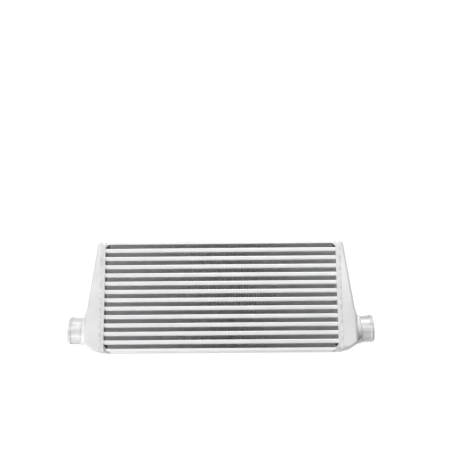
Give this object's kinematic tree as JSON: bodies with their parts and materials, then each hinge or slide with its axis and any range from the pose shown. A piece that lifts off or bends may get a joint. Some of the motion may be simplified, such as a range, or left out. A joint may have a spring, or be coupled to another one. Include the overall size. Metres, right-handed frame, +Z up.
{
  "type": "intercooler",
  "caption": "Charge-air cooler: flat tubes and folded fins between two wedge-shaped cast end tanks, each with a short beaded round neck near its wide end.",
  "frame": {"origin": "on the rest plane, under the middle of the core", "axes": "+X along the tubes to the right neck, +Y across the rows away from the necks, +Z up out of the front face; it lies on its back"},
  "size_m": [0.7914, 0.2836, 0.084],
  "materials": {
    "fin": "dull thin sheet",
    "tube": "satin, bare",
    "turbulator": "dull thin sheet",
    "side_plate": "satin, bare",
    "header": "satin, bare",
    "tank": "matt casting",
    "neck": "turned, semi-bright"
  },
  "bodies": {
    "root": {"fin_01": "fin", "fin_02": "fin", "fin_03": "fin", "fin_04": "fin", "fin_05": "fin", "fin_06": "fin", "fin_07": "fin", "fin_08": "fin", "fin_09": "fin", "fin_10": "fin", "fin_11": "fin", "fin_12": "fin", "fin_13": "fin", "tube_01": "tube", "tube_02": "tube", "tube_03": "tube", "tube_04": "tube", "tube_05": "tube", "tube_06": "tube", "tube_07": "tube", "tube_08": "tube", "tube_09": "tube", "tube_10": "tube", "tube_11": "tube", "tube_12": "tube", "turbulator_01": "turbulator", "turbulator_02": "turbulator", "turbulator_03": "turbulator", "turbulator_04": "turbulator", "turbulator_05": "turbulator", "turbulator_06": "turbulator", "turbulator_07": "turbulator", "turbulator_08": "turbulator", "turbulator_09": "turbulator", "turbulator_10": "turbulator", "turbulator_11": "turbulator", "turbulator_12": "turbulator", "top_side_plate": "side_plate", "bottom_side_plate": "side_plate", "left_header": "header", "right_header": "header", "left_tank": "tank", "right_tank": "tank", "left_neck": "neck", "right_neck": "neck"}
  },
  "joints": []
}
